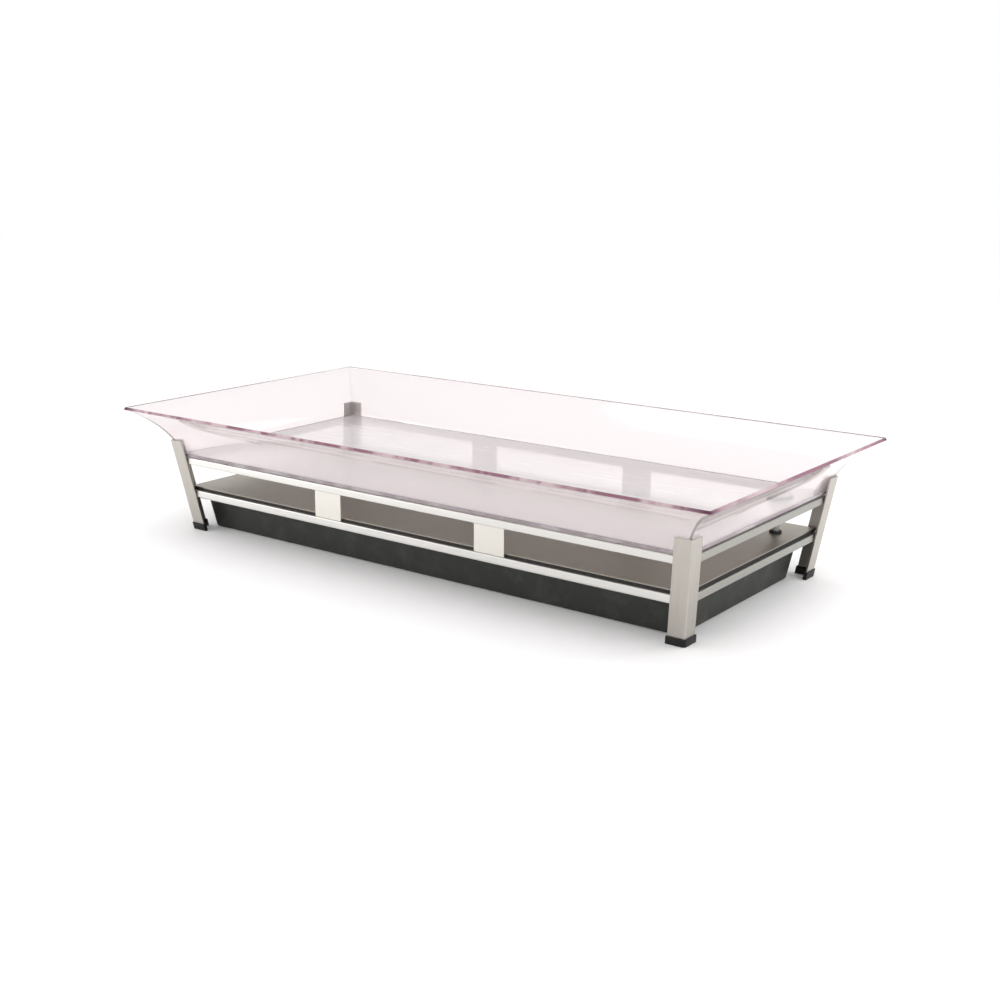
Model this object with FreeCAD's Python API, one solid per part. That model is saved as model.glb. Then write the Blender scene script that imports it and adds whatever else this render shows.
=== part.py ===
import FreeCAD, Part
import math
import os

# Ice display pedestal: a clear flared tray with a drain, standing inside the tops of four
# splayed angle legs. Two rings of rails join the legs. The lower ring carries a steel
# shelf and, on runners, a black drain pan that pulls out at the right-hand end.
# Millimetres. +Z is up, +X runs along the length, -Y is the front.
# The origin is on the table, under the middle of the frame.

Vector = FreeCAD.Vector
UP = Vector(0, 0, 1)

# Driving dimensions: clear tray
TRAY_LENGTH = 1220.0        # over the rim
TRAY_WIDTH = 610.0          # over the rim
TRAY_DEPTH = 93.0           # underside of the floor to the top of the rim
TRAY_SHEET = 5.0            # acrylic thickness
RIM_SLOPE = 26.0            # degrees above level at the rim
WALL_FOOT_SLOPE = 73.5      # degrees above level where the wall stands on the floor

# Driving dimensions: legs and feet
LEG_FLANGE = 30.0           # each flange of the angle, over its corner
LEG_SHEET = 3.0
LEG_CORNER = 3.0            # outer radius of the angle's corner
LEG_SPLAY_X = 7.5           # degrees out of upright, along the length
LEG_SPLAY_Y = 9.3           # degrees out of upright, across the width
LEG_UPSTAND = 31.0          # legs above the upper rails
TRAY_CLEARANCE = 0.5        # tray wall to the inside of the legs' tops
FOOT_HEIGHT = 13.0
FOOT_SOLE = 7.0             # cap under the leg's end
FOOT_WALL = 2.0             # cap round the leg's end
FOOT_FIT = 0.1              # cap's groove to the leg

# Driving dimensions: rails and braces
RAIL_TUBE = 12.7            # side of the square tube
RAIL_WALL = 1.2
RAIL_CORNER = 1.5
RAIL_LEG_GAP = 0.3          # rails' outer faces to the legs' flanges
UPPER_RAIL_TOP = 142.0
LOWER_RAIL_TOP = 78.5
BRACE_SPACING = 350.0       # between the middles of the two braces on a long side
BRACE_WIDTH = 60.0
BRACE_SHEET = 4.5
BRACE_DROP = 2.5            # brace's upper end below the top of the upper rail

# Driving dimensions: tray bumpers on the upper rails
BUMPER_DIAMETER = 6.0
BUMPER_HEIGHT = 1.5
BUMPER_SPACING = 420.0      # along the long rails, from the middle one to the outer ones

# Driving dimensions: shelf, its sealing strips and its drain grommet
SHELF_SHEET = 1.5
SHELF_BRACE_GAP = 0.4       # shelf and strips to the braces
STRIP_HEIGHT = 4.5
DRAIN_INSET_X = 41.0        # drain axis in from the shelf's right-hand edge
DRAIN_INSET_Y = 67.0        # drain axis in from the shelf's back edge
GROMMET_BORE = 14.0
GROMMET_WALL = 1.3          # in the shelf's hole
GROMMET_LIP = 2.2           # past the shelf's hole
GROMMET_LIP_TOP = 3.5
GROMMET_LIP_BELOW = 2.5
GROMMET_FIT = 0.1

# Driving dimensions: drain pan and its runners
PAN_TABLE_GAP = 1.0         # pan above the table
PAN_RAIL_GAP = 0.8          # pan rim under the end rails
PAN_LEG_GAP = 2.0           # pan rim to the legs at either side
PAN_WALL = 3.0
PAN_RIM_SHEET = 2.5
PAN_SIDE_RIM = 5.0          # rim that rides on the runners
PAN_END_RIM = 11.0          # rim at the ends, the finger grip
PAN_DRAFT = 9.3             # degrees that the walls lean
PAN_CORNER = 10.0           # corner radius at the top of the walls
RUNNER_SHEET = 1.5
RUNNER_GAP = 0.3            # pan rim above the runner's lip
RUNNER_LIP_GAP = 1.5        # runner's lip to the pan's wall
RUNNER_END_GAP = 1.0        # runner's ends to the end rails
RUNNER_TOP_DROP = 3.0       # upper edge of runners and stop below the top of the rail
STOP_LENGTH = 80.0          # stop plate on the left-hand end rail
STOP_SHEET = 2.0
STOP_GAP = 0.3              # pan rim to the stop plate

# Driving dimensions: tray drain
DRAIN_BARREL = 26.0         # outer diameter of the barrel through the tray floor
DRAIN_HOLE_GAP = 0.5        # barrel to the hole, all round
DRAIN_BORE = 19.0
DRAIN_FLANGE = 44.0
DRAIN_FLANGE_SHEET = 4.0
DRAIN_BARREL_BELOW = 22.0   # barrel under the tray floor
DRAIN_END_SHEET = 3.0       # end wall of the barrel
GASKET_SHEET = 2.0
WASHER_DIAMETER = 40.0
WASHER_SHEET = 1.5
LOCKNUT_FLATS = 38.0
LOCKNUT_HEIGHT = 8.0
LOCKNUT_FIT = 0.1
TAIL_DIAMETER = 12.0
TAIL_WALL = 2.0
TAIL_BELOW_SHELF = 6.0
STRAINER_DIAMETER = 34.0
STRAINER_FIT = 0.4          # strainer to its recess in the flange
STRAINER_SHEET = 1.5
STRAINER_HOLE = 3.0
STRAINER_INNER_RING = 7.0   # radius of the inner ring of holes
STRAINER_OUTER_RING = 12.0
KNOB_DIAMETER = 7.0
KNOB_HEIGHT = 9.0

# Counts
STRAINER_INNER_COUNT = 6
STRAINER_OUTER_COUNT = 12

CORNERS = {
    "front_left": (-1, -1),
    "front_right": (1, -1),
    "back_left": (-1, 1),
    "back_right": (1, 1),
}

# Heights that follow from the sizes above
LEG_TOP = UPPER_RAIL_TOP + LEG_UPSTAND
UPPER_RAIL_BOTTOM = UPPER_RAIL_TOP - RAIL_TUBE
LOWER_RAIL_BOTTOM = LOWER_RAIL_TOP - RAIL_TUBE
TRAY_BOTTOM = UPPER_RAIL_TOP + BUMPER_HEIGHT
TRAY_FLOOR = TRAY_BOTTOM + TRAY_SHEET
RIM_TOP = TRAY_BOTTOM + TRAY_DEPTH
SHELF_BOTTOM = LOWER_RAIL_TOP + STRIP_HEIGHT
SHELF_TOP = SHELF_BOTTOM + SHELF_SHEET
PAN_TOP = LOWER_RAIL_BOTTOM - PAN_RAIL_GAP
PAN_RIM_BOTTOM = PAN_TOP - PAN_RIM_SHEET
LIP_TOP = PAN_RIM_BOTTOM - RUNNER_GAP
LIP_BOTTOM = LIP_TOP - RUNNER_SHEET


# The tray wall's cross-section: one flare arc, hollow side outwards, standing on the floor sheet

RIM_ANGLE = math.radians(RIM_SLOPE)
FOOT_ANGLE = math.radians(WALL_FOOT_SLOPE)
FLARE_RISE = RIM_TOP - TRAY_FLOOR - TRAY_SHEET * math.cos(RIM_ANGLE)
FLARE_RADIUS = FLARE_RISE / (math.cos(RIM_ANGLE) - math.cos(FOOT_ANGLE))
FLARE_OUT = FLARE_RADIUS * math.sin(RIM_ANGLE)          # arc's centre, out from the rim
FLARE_Z = TRAY_FLOOR - FLARE_RADIUS * math.cos(FOOT_ANGLE)
FLOOR_INSET = FLARE_RADIUS * math.sin(FOOT_ANGLE) - FLARE_OUT   # floor's edge, in from the rim


def tray_inset(z):
    """How far the tray's outer face lies in from the rim at height z."""
    if z <= TRAY_FLOOR:
        return FLOOR_INSET
    return math.sqrt(FLARE_RADIUS ** 2 - (z - FLARE_Z) ** 2) - FLARE_OUT


# Plan positions that follow from the tray and the splay

LEG_TOP_X = TRAY_LENGTH / 2 - tray_inset(LEG_TOP) + TRAY_CLEARANCE + LEG_SHEET
LEG_TOP_Y = TRAY_WIDTH / 2 - tray_inset(LEG_TOP) + TRAY_CLEARANCE + LEG_SHEET


def leg_outer(z):
    """Half length and half width over the legs' outer faces at height z."""
    lean_x = (LEG_TOP - z) * math.tan(math.radians(LEG_SPLAY_X))
    lean_y = (LEG_TOP - z) * math.tan(math.radians(LEG_SPLAY_Y))
    return LEG_TOP_X - lean_x, LEG_TOP_Y - lean_y


def rail_ring(top):
    """Half length and half width over the outer faces of a ring of rails."""
    x, y = leg_outer(top - RAIL_TUBE)
    return x - LEG_SHEET - RAIL_LEG_GAP, y - LEG_SHEET - RAIL_LEG_GAP


UPPER_X, UPPER_Y = rail_ring(UPPER_RAIL_TOP)
LOWER_X, LOWER_Y = rail_ring(LOWER_RAIL_TOP)
UPPER_INSIDE_X, UPPER_INSIDE_Y = UPPER_X - RAIL_TUBE, UPPER_Y - RAIL_TUBE
LOWER_INSIDE_X, LOWER_INSIDE_Y = LOWER_X - RAIL_TUBE, LOWER_Y - RAIL_TUBE
FLOOR_X = TRAY_LENGTH / 2 - FLOOR_INSET
FLOOR_Y = TRAY_WIDTH / 2 - FLOOR_INSET
BUMPER_X = (UPPER_INSIDE_X + RAIL_CORNER + FLOOR_X) / 2     # over the rail's flat, under the floor
BUMPER_Y = (UPPER_INSIDE_Y + RAIL_CORNER + FLOOR_Y) / 2
BRACE_Y = UPPER_INSIDE_Y - BRACE_SHEET                      # brace's inner face
SHELF_X = LOWER_X - RAIL_TUBE / 2
SHELF_Y = BRACE_Y - SHELF_BRACE_GAP
DRAIN_X = SHELF_X - DRAIN_INSET_X
DRAIN_Y = SHELF_Y - DRAIN_INSET_Y
PAN_RIGHT = LOWER_INSIDE_X
PAN_LEFT = LOWER_X - STOP_GAP                               # under the left-hand end rail
PAN_RIM_X = (PAN_RIGHT + PAN_LEFT) / 2
PAN_MIDDLE = (PAN_RIGHT - PAN_LEFT) / 2
PAN_RIM_Y = leg_outer(PAN_RIM_BOTTOM)[1] - LEG_FLANGE - PAN_LEG_GAP


# Shapes used by several pieces

def block(low, high):
    """A box between two corners."""
    size = high - low
    return Part.makeBox(size.x, size.y, size.z, low)


def rounded_rectangle(z, half_x, half_y, radius):
    """A level closed wire round the middle, with rounded corners."""
    edges = []
    for sx, sy in ((1, 1), (-1, 1), (-1, -1), (1, -1)):
        pivot = Vector(sx * (half_x - radius), sy * (half_y - radius), z)
        out_x, out_y = Vector(sx * radius, 0, 0), Vector(0, sy * radius, 0)
        middle = pivot + (out_x + out_y) * math.sqrt(0.5)
        ends = (pivot + out_x, pivot + out_y) if sx == sy else (pivot + out_y, pivot + out_x)
        if edges:
            edges.append(Part.makeLine(edges[-1].Vertexes[-1].Point, ends[0]))
        edges.append(Part.Arc(ends[0], middle, ends[1]).toShape())
    edges.append(Part.makeLine(edges[-1].Vertexes[-1].Point, edges[0].Vertexes[0].Point))
    return Part.Wire(edges)


def leg_angle(corner, grow, low, high):
    """An L-shaped bar that follows a leg, with every face of the leg's section moved out by grow."""
    sx, sy = corner
    x_low, y_low = leg_outer(low)
    x_high, y_high = leg_outer(high)
    outside, inside, end = -grow, LEG_SHEET + grow, LEG_FLANGE + grow
    bend = LEG_CORNER - (LEG_CORNER + grow) * math.sqrt(0.5)

    def place(u, v):
        return Vector(sx * (x_low - u), sy * (y_low - v), low)

    path = [
        (outside, LEG_CORNER), (outside, end), (inside, end), (inside, inside),
        (end, inside), (end, outside), (LEG_CORNER, outside),
    ]
    edges = Part.makePolygon([place(u, v) for u, v in path]).Edges
    round_corner = Part.Arc(place(LEG_CORNER, outside), place(bend, bend), place(outside, LEG_CORNER))
    section = Part.Face(Part.Wire(edges + [round_corner.toShape()]))
    return section.extrude(Vector(sx * (x_high - x_low), sy * (y_high - y_low), high - low))


def between_legs(low, high):
    """The room between the legs' end flanges, from one height to another."""
    outline = ((-1, low), (1, low), (1, high), (-1, high), (-1, low))
    points = [Vector(side * (leg_outer(z)[0] - LEG_SHEET), -TRAY_WIDTH / 2, z) for side, z in outline]
    return Part.Face(Part.makePolygon(points)).extrude(Vector(0, TRAY_WIDTH, 0))


def turned(profile, x, y):
    """A solid of revolution about an upright axis, from (radius, height) points."""
    points = [Vector(radius, 0, z) for radius, z in profile]
    face = Part.Face(Part.makePolygon(points + points[:1]))
    solid = face.revolve(Vector(0, 0, 0), UP, 360)
    solid.translate(Vector(x, y, 0))
    return solid


def ring(outer, inner, low, high, x, y):
    """A plain round ring, given by diameters."""
    return turned([(inner / 2, low), (outer / 2, low), (outer / 2, high), (inner / 2, high)], x, y)


# Legs and feet

def leg(corner):
    """Splayed angle whose top stands outside the tray's corner."""
    return leg_angle(corner, 0, FOOT_SOLE, LEG_TOP)


def foot(corner):
    """Moulded L-shaped cap, with a groove that the leg's end stands in."""
    cap = leg_angle(corner, FOOT_WALL, 0, FOOT_HEIGHT)
    return cap.cut(leg_angle(corner, FOOT_FIT, FOOT_SOLE, FOOT_HEIGHT + FOOT_SOLE))


# Rails and braces

def rail(top, along_x, side):
    """One square tube. The long ones end at the legs, the cross ones at the long ones."""
    x, y = rail_ring(top)
    bottom = top - RAIL_TUBE
    if along_x:
        reach = leg_outer(top)[0]
        across = sorted((side * y, side * (y - RAIL_TUBE)))
        low, high = Vector(-reach, across[0], bottom), Vector(reach, across[1], top)
        along, wall = Vector(1, 0, 0), Vector(0, RAIL_WALL, RAIL_WALL)
    else:
        reach = y - RAIL_TUBE
        across = sorted((side * x, side * (x - RAIL_TUBE)))
        low, high = Vector(across[0], -reach, bottom), Vector(across[1], reach, top)
        along, wall = Vector(0, 1, 0), Vector(RAIL_WALL, 0, RAIL_WALL)
    tube = block(low, high)
    long_edges = [e for e in tube.Edges if e.Length > RAIL_TUBE + RAIL_WALL]
    tube = tube.makeFillet(RAIL_CORNER, long_edges)
    tube = tube.cut(block(low + wall - along, high - wall + along))
    return tube.common(between_legs(bottom, top))


def brace(x_side, y_side):
    """Flat upright plate that stands on the lower rail, against the inner face of the upper one."""
    x = x_side * BRACE_SPACING / 2
    y = sorted((y_side * BRACE_Y, y_side * UPPER_INSIDE_Y))
    low = Vector(x - BRACE_WIDTH / 2, y[0], LOWER_RAIL_TOP)
    return block(low, Vector(x + BRACE_WIDTH / 2, y[1], UPPER_RAIL_TOP - BRACE_DROP))


def bumpers():
    """Small clear pads on the upper rails, under the tray's floor."""
    places = [(k * BUMPER_SPACING, side * BUMPER_Y) for k in (-1, 0, 1) for side in (-1, 1)]
    places += [(side * BUMPER_X, 0) for side in (-1, 1)]
    pads = [
        Part.makeCylinder(BUMPER_DIAMETER / 2, BUMPER_HEIGHT, Vector(x, y, UPPER_RAIL_TOP))
        for x, y in places
    ]
    return Part.makeCompound(pads)


# Shelf

def shelf():
    """Flat steel sheet over the inner part of the lower rails, with a drain hole."""
    sheet = block(Vector(-SHELF_X, -SHELF_Y, SHELF_BOTTOM), Vector(SHELF_X, SHELF_Y, SHELF_TOP))
    hole = GROMMET_BORE / 2 + GROMMET_WALL + GROMMET_FIT
    return sheet.cut(Part.makeCylinder(hole, SHELF_SHEET, Vector(DRAIN_X, DRAIN_Y, SHELF_BOTTOM)))


def shelf_strips():
    """Black strips that seal and bond the shelf to the inner part of each lower rail."""
    strips = []
    for side in (-1, 1):
        y = sorted((side * SHELF_Y, side * LOWER_INSIDE_Y))
        strips.append(block(Vector(-SHELF_X, y[0], LOWER_RAIL_TOP), Vector(SHELF_X, y[1], SHELF_BOTTOM)))
        x = sorted((side * SHELF_X, side * LOWER_INSIDE_X))
        low = Vector(x[0], -LOWER_INSIDE_Y, LOWER_RAIL_TOP)
        strips.append(block(low, Vector(x[1], LOWER_INSIDE_Y, SHELF_BOTTOM)))
    return Part.makeCompound(strips)


def grommet():
    """Rubber drain ring that grips the edge of the shelf's hole."""
    bore = GROMMET_BORE / 2
    neck = bore + GROMMET_WALL
    lip = neck + GROMMET_LIP
    top = SHELF_TOP + GROMMET_LIP_TOP
    bottom = SHELF_BOTTOM - GROMMET_LIP_BELOW
    profile = [
        (bore, bottom), (lip, bottom), (lip, SHELF_BOTTOM), (neck, SHELF_BOTTOM),
        (neck, SHELF_TOP), (lip, SHELF_TOP), (lip, top), (bore, top),
    ]
    return turned(profile, DRAIN_X, DRAIN_Y)


# Drain pan and what carries it

def pan():
    """Deep black pan with leaning walls and a rim all round that rides on the runners."""
    top_x, top_y = PAN_RIM_X - PAN_END_RIM, PAN_RIM_Y - PAN_SIDE_RIM
    slope = math.tan(math.radians(PAN_DRAFT))

    def tub(inset, low, high):
        wires = []
        for z in (low, high):
            lean = (PAN_TOP - z) * slope
            radius = max(PAN_CORNER - inset - lean, PAN_WALL / 2)
            half_x, half_y = top_x - inset - lean, top_y - inset - lean
            wires.append(rounded_rectangle(z, half_x, half_y, radius))
        return Part.makeLoft(wires, True, True)

    rim_wire = rounded_rectangle(PAN_RIM_BOTTOM, PAN_RIM_X, PAN_RIM_Y, PAN_CORNER)
    rim = Part.Face(rim_wire).extrude(UP * PAN_RIM_SHEET)
    shell = rim.fuse(tub(0, PAN_TABLE_GAP, PAN_TOP)).removeSplitter()
    shell = shell.cut(tub(PAN_WALL, PAN_TABLE_GAP + PAN_WALL, PAN_TOP + PAN_WALL))
    shell.translate(Vector(PAN_MIDDLE, 0, 0))
    return shell


def runner(side):
    """Folded strip on the inner face of a long lower rail, with a lip under the pan's rim."""
    half = LOWER_INSIDE_X - RUNNER_END_GAP
    face = LOWER_INSIDE_Y
    lip_end = PAN_RIM_Y - PAN_SIDE_RIM + RUNNER_LIP_GAP

    def strip(y_in, y_out, low, high):
        y = sorted((side * y_in, side * y_out))
        return block(Vector(-half, y[0], low), Vector(half, y[1], high))

    web = strip(face - RUNNER_SHEET, face, LIP_BOTTOM, LOWER_RAIL_TOP - RUNNER_TOP_DROP)
    lip = strip(lip_end, face, LIP_BOTTOM, LIP_TOP)
    return web.fuse(lip).removeSplitter()


def pan_stop():
    """Plate on the outer face of the left-hand end rail that the pan's rim comes up against."""
    low = Vector(-LOWER_X - STOP_SHEET, -STOP_LENGTH / 2, LIP_BOTTOM)
    return block(low, Vector(-LOWER_X, STOP_LENGTH / 2, LOWER_RAIL_TOP - RUNNER_TOP_DROP))


# Clear tray: a floor sheet and four curved walls, cemented at the floor and at mitred corners

def tray_floor():
    """Flat sheet with one drain hole, its edges flush with the feet of the walls."""
    half = Vector(FLOOR_X, FLOOR_Y, 0)
    sheet = block(UP * TRAY_BOTTOM - half, UP * TRAY_FLOOR + half)
    hole = DRAIN_BARREL / 2 + DRAIN_HOLE_GAP
    return sheet.cut(Part.makeCylinder(hole, TRAY_SHEET, Vector(DRAIN_X, DRAIN_Y, TRAY_BOTTOM)))


def wall_section():
    """A wall's cross-section, with X measured out from the rim and Z in place."""
    def on_flare(radius, angle):
        return Vector(FLARE_OUT - radius * math.sin(angle), 0, FLARE_Z + radius * math.cos(angle))

    outer, inner = FLARE_RADIUS, FLARE_RADIUS + TRAY_SHEET
    inner_foot = math.acos((TRAY_FLOOR - FLARE_Z) / inner)
    edges = []
    for radius, foot in ((outer, FOOT_ANGLE), (inner, inner_foot)):
        middle = on_flare(radius, (RIM_ANGLE + foot) / 2)
        edges.append(Part.Arc(on_flare(radius, RIM_ANGLE), middle, on_flare(radius, foot)).toShape())
    edges.append(Part.makeLine(on_flare(outer, RIM_ANGLE), on_flare(inner, RIM_ANGLE)))
    edges.append(Part.makeLine(on_flare(outer, FOOT_ANGLE), on_flare(inner, inner_foot)))
    return Part.Face(Part.Wire(Part.__sortEdges__(edges)))


def tray_wall(turn, reach, length):
    """One curved wall with mitred ends, reach out from the middle, turned from the right-hand end."""
    strip = wall_section()
    strip.translate(Vector(reach, -length / 2, 0))
    strip = strip.extrude(Vector(0, length, 0))
    half, depth = length / 2, FLARE_RADIUS
    outline = [(reach, -half), (reach, half), (reach - depth, half - depth), (reach - depth, depth - half)]
    points = [Vector(x, y, TRAY_BOTTOM) for x, y in outline]
    mitres = Part.Face(Part.makePolygon(points + points[:1])).extrude(UP * 2 * TRAY_DEPTH)
    wall = strip.common(mitres)
    wall.rotate(Vector(0, 0, 0), UP, turn)
    return wall


# Tray drain, all on one upright axis

FLANGE_BOTTOM = TRAY_FLOOR + GASKET_SHEET
FLANGE_TOP = FLANGE_BOTTOM + DRAIN_FLANGE_SHEET
BARREL_BOTTOM = TRAY_BOTTOM - DRAIN_BARREL_BELOW
STRAINER_BOTTOM = FLANGE_TOP - STRAINER_SHEET


def drain_body():
    """Flanged barrel with a recess for the strainer and a small outlet in its end."""
    bore, outlet = DRAIN_BORE / 2, TAIL_DIAMETER / 2
    recess = STRAINER_DIAMETER / 2 + STRAINER_FIT
    barrel, flange = DRAIN_BARREL / 2, DRAIN_FLANGE / 2
    profile = [
        (outlet, BARREL_BOTTOM), (barrel, BARREL_BOTTOM), (barrel, FLANGE_BOTTOM),
        (flange, FLANGE_BOTTOM), (flange, FLANGE_TOP), (recess, FLANGE_TOP),
        (recess, STRAINER_BOTTOM), (bore, STRAINER_BOTTOM),
        (bore, BARREL_BOTTOM + DRAIN_END_SHEET), (outlet, BARREL_BOTTOM + DRAIN_END_SHEET),
    ]
    return turned(profile, DRAIN_X, DRAIN_Y)


def drain_gasket():
    inner = DRAIN_BARREL + 2 * DRAIN_HOLE_GAP
    return ring(DRAIN_FLANGE, inner, TRAY_FLOOR, FLANGE_BOTTOM, DRAIN_X, DRAIN_Y)


def drain_washer():
    inner = DRAIN_BARREL + 2 * DRAIN_HOLE_GAP
    return ring(WASHER_DIAMETER, inner, TRAY_BOTTOM - WASHER_SHEET, TRAY_BOTTOM, DRAIN_X, DRAIN_Y)


def drain_locknut():
    """Hexagon nut on the barrel, under the tray."""
    bottom = TRAY_BOTTOM - WASHER_SHEET - LOCKNUT_HEIGHT
    turns = [math.pi / 3 * k for k in range(7)]
    reach = LOCKNUT_FLATS / 2 / math.cos(math.pi / 6)
    corners = [Vector(reach * math.cos(turn), reach * math.sin(turn), 0) for turn in turns]
    nut = Part.Face(Part.makePolygon(corners)).extrude(UP * LOCKNUT_HEIGHT)
    nut = nut.cut(Part.makeCylinder(DRAIN_BARREL / 2 + LOCKNUT_FIT, LOCKNUT_HEIGHT))
    nut.translate(Vector(DRAIN_X, DRAIN_Y, bottom))
    return nut


def drain_tailpiece():
    """Plain tube from the barrel's outlet down through the shelf's grommet."""
    inner = TAIL_DIAMETER - 2 * TAIL_WALL
    top = BARREL_BOTTOM + DRAIN_END_SHEET
    return ring(TAIL_DIAMETER, inner, SHELF_BOTTOM - TAIL_BELOW_SHELF, top, DRAIN_X, DRAIN_Y)


def drain_strainer():
    """Perforated disc with a lifting knob, loose in the flange's recess."""
    disc = Part.makeCylinder(STRAINER_DIAMETER / 2, STRAINER_SHEET)
    rings = ((STRAINER_INNER_COUNT, STRAINER_INNER_RING), (STRAINER_OUTER_COUNT, STRAINER_OUTER_RING))
    for count, radius in rings:
        for k in range(count):
            turn = 2 * math.pi * k / count
            place = Vector(radius * math.cos(turn), radius * math.sin(turn), 0)
            disc = disc.cut(Part.makeCylinder(STRAINER_HOLE / 2, STRAINER_SHEET, place))
    head_height = KNOB_HEIGHT / 3
    head_place = UP * (STRAINER_SHEET + KNOB_HEIGHT - head_height)
    neck = Part.makeCylinder(KNOB_DIAMETER / 4, KNOB_HEIGHT, UP * STRAINER_SHEET)
    head = Part.makeCylinder(KNOB_DIAMETER / 2, head_height, head_place)
    strainer = disc.fuse([neck, head]).removeSplitter()
    strainer.translate(Vector(DRAIN_X, DRAIN_Y, STRAINER_BOTTOM))
    return strainer


def pieces():
    """Every sub-part by its node's name."""
    made = {}
    for name, corner in CORNERS.items():
        made["leg_" + name] = leg(corner)
        made["foot_" + name] = foot(corner)
    for level, top in (("upper", UPPER_RAIL_TOP), ("lower", LOWER_RAIL_TOP)):
        for front, end, side in (("front", "left", -1), ("back", "right", 1)):
            made[f"{level}_rail_{front}"] = rail(top, True, side)
            made[f"{level}_rail_{end}"] = rail(top, False, side)
    for name, (x_side, y_side) in CORNERS.items():
        made["brace_" + name] = brace(x_side, y_side)
    made["tray_bumpers"] = bumpers()
    made["shelf"] = shelf()
    made["shelf_strips"] = shelf_strips()
    made["shelf_grommet"] = grommet()
    made["runner_front"] = runner(-1)
    made["runner_back"] = runner(1)
    made["pan_stop"] = pan_stop()
    made["drain_pan"] = pan()
    made["tray_floor"] = tray_floor()
    made["tray_wall_right"] = tray_wall(0, TRAY_LENGTH / 2, TRAY_WIDTH)
    made["tray_wall_back"] = tray_wall(90, TRAY_WIDTH / 2, TRAY_LENGTH)
    made["tray_wall_left"] = tray_wall(180, TRAY_LENGTH / 2, TRAY_WIDTH)
    made["tray_wall_front"] = tray_wall(270, TRAY_WIDTH / 2, TRAY_LENGTH)
    made["drain_body"] = drain_body()
    made["drain_gasket"] = drain_gasket()
    made["drain_washer"] = drain_washer()
    made["drain_locknut"] = drain_locknut()
    made["drain_tailpiece"] = drain_tailpiece()
    made["drain_strainer"] = drain_strainer()
    return made


def main():
    os.makedirs("parts", exist_ok=True)
    for name, shape in pieces().items():
        shape.exportStep(f"parts/{name}.step")
        state = "valid" if shape.isValid() else "NOT VALID"
        print(name, len(shape.Solids), "solids", state, round(shape.Volume))


main()
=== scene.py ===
"""Looks of an ice display pedestal, built around its packed model.

Metres, in the packed model's own frame: +X runs along the length, -Y is the front, +Z is up.
"""

import math

import bmesh
import bpy
from bpy.props import FloatProperty, FloatVectorProperty, IntProperty, PointerProperty
from mathutils import Matrix, Vector


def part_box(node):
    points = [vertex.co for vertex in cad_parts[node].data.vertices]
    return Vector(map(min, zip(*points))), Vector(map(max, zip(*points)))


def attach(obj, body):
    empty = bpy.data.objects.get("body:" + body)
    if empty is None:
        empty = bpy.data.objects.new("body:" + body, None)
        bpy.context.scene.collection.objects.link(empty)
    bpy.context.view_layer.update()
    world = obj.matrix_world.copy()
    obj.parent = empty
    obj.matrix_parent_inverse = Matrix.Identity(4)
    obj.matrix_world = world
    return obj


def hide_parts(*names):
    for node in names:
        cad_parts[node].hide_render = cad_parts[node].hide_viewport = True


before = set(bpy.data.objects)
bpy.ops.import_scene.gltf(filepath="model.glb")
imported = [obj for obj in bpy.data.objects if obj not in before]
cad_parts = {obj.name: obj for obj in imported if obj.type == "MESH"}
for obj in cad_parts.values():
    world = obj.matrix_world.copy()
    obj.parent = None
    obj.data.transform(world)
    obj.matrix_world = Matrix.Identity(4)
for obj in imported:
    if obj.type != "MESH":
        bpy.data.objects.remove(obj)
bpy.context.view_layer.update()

bl_info = {
    "name": "Ice display pedestal",
    "version": (1, 0, 0),
    "blender": (4, 5, 0),
    "location": "3D View > Sidebar > Pedestal",
    "description": "Dresses the packed pedestal: clear tray, steel frame, drain, pan and stage",
    "category": "Object",
}

MM = 0.001
CORNERS = ("front_left", "front_right", "back_left", "back_right")
LONG_RAILS = ("upper_rail_front", "upper_rail_back", "lower_rail_front", "lower_rail_back")
END_RAILS = ("upper_rail_left", "upper_rail_right", "lower_rail_left", "lower_rail_right")
TRAY_NODES = ("tray_floor", "tray_wall_front", "tray_wall_back", "tray_wall_left", "tray_wall_right")
# The axis that each brushed finish runs along
# The end finish is a darker copy of the tube's steel: painted shade on the rails across the ends
# The shelf finish is a darker, browner copy of the steel: painted shade from the tray above it
BRUSHED_ALONG = {"tube": 0, "end": 1, "brace": 2, "leg": 2, "shelf": 0}
ACRYLIC_IOR = 1.49
# Edges that turn by more than this are corners, and others belong to a curve
SHARP = math.radians(50)
# Points closer than this are level, on an axis or the same
NEAR = 0.01 * MM
# Sides of the circles: drain holes, strainer, its holes, locknut and floor
HOLE_SIDES = 48
STRAINER_SIDES = 72
STRAINER_HOLE_SIDES = 16
NUT_SIDES = 6
FLOOR_SIDES = 96
# Each softbox's place, the point that it looks at, and its width and height
SOFTBOXES = {
    "overhead": ((0.0, 0.2, 2.4), (0.0, 0.0, 0.1), (2.6, 2.0)),
    "key": ((1.7, 1.5, 1.7), (0.7, 0.3, 0.1), (1.4, 1.4)),
    "fill": ((-1.95, -1.7, 0.5), (-0.3, -0.25, 0.1), (1.6, 0.7)),
    "side": ((2.4, 0.1, 0.35), (0.6, 0.0, 0.1), (1.4, 0.6)),
}
CAMERA_PLACE = (1.470330, -1.923283, 0.719480)


# Settings

def linear(hex_colour):
    """The linear RGBA of an sRGB hex colour."""
    channels = [int(hex_colour[i:i + 2], 16) / 255 for i in (1, 3, 5)]
    return [c / 12.92 if c <= 0.04045 else ((c + 0.055) / 1.055) ** 2.4 for c in channels] + [1.0]


def length(name, description, millimetres):
    """A property for a size, given here in millimetres."""
    return FloatProperty(
        name=name, description=description, default=millimetres * MM, min=0.0, unit="LENGTH", precision=5
    )


def angle(name, description, degrees):
    """A property for an angle, given here in degrees."""
    return FloatProperty(name=name, description=description, default=math.radians(degrees), subtype="ANGLE")


def share(name, description, default):
    """A property for a share from 0 to 1."""
    return FloatProperty(
        name=name, description=description, default=default, min=0.0, max=1.0, subtype="FACTOR"
    )


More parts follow.
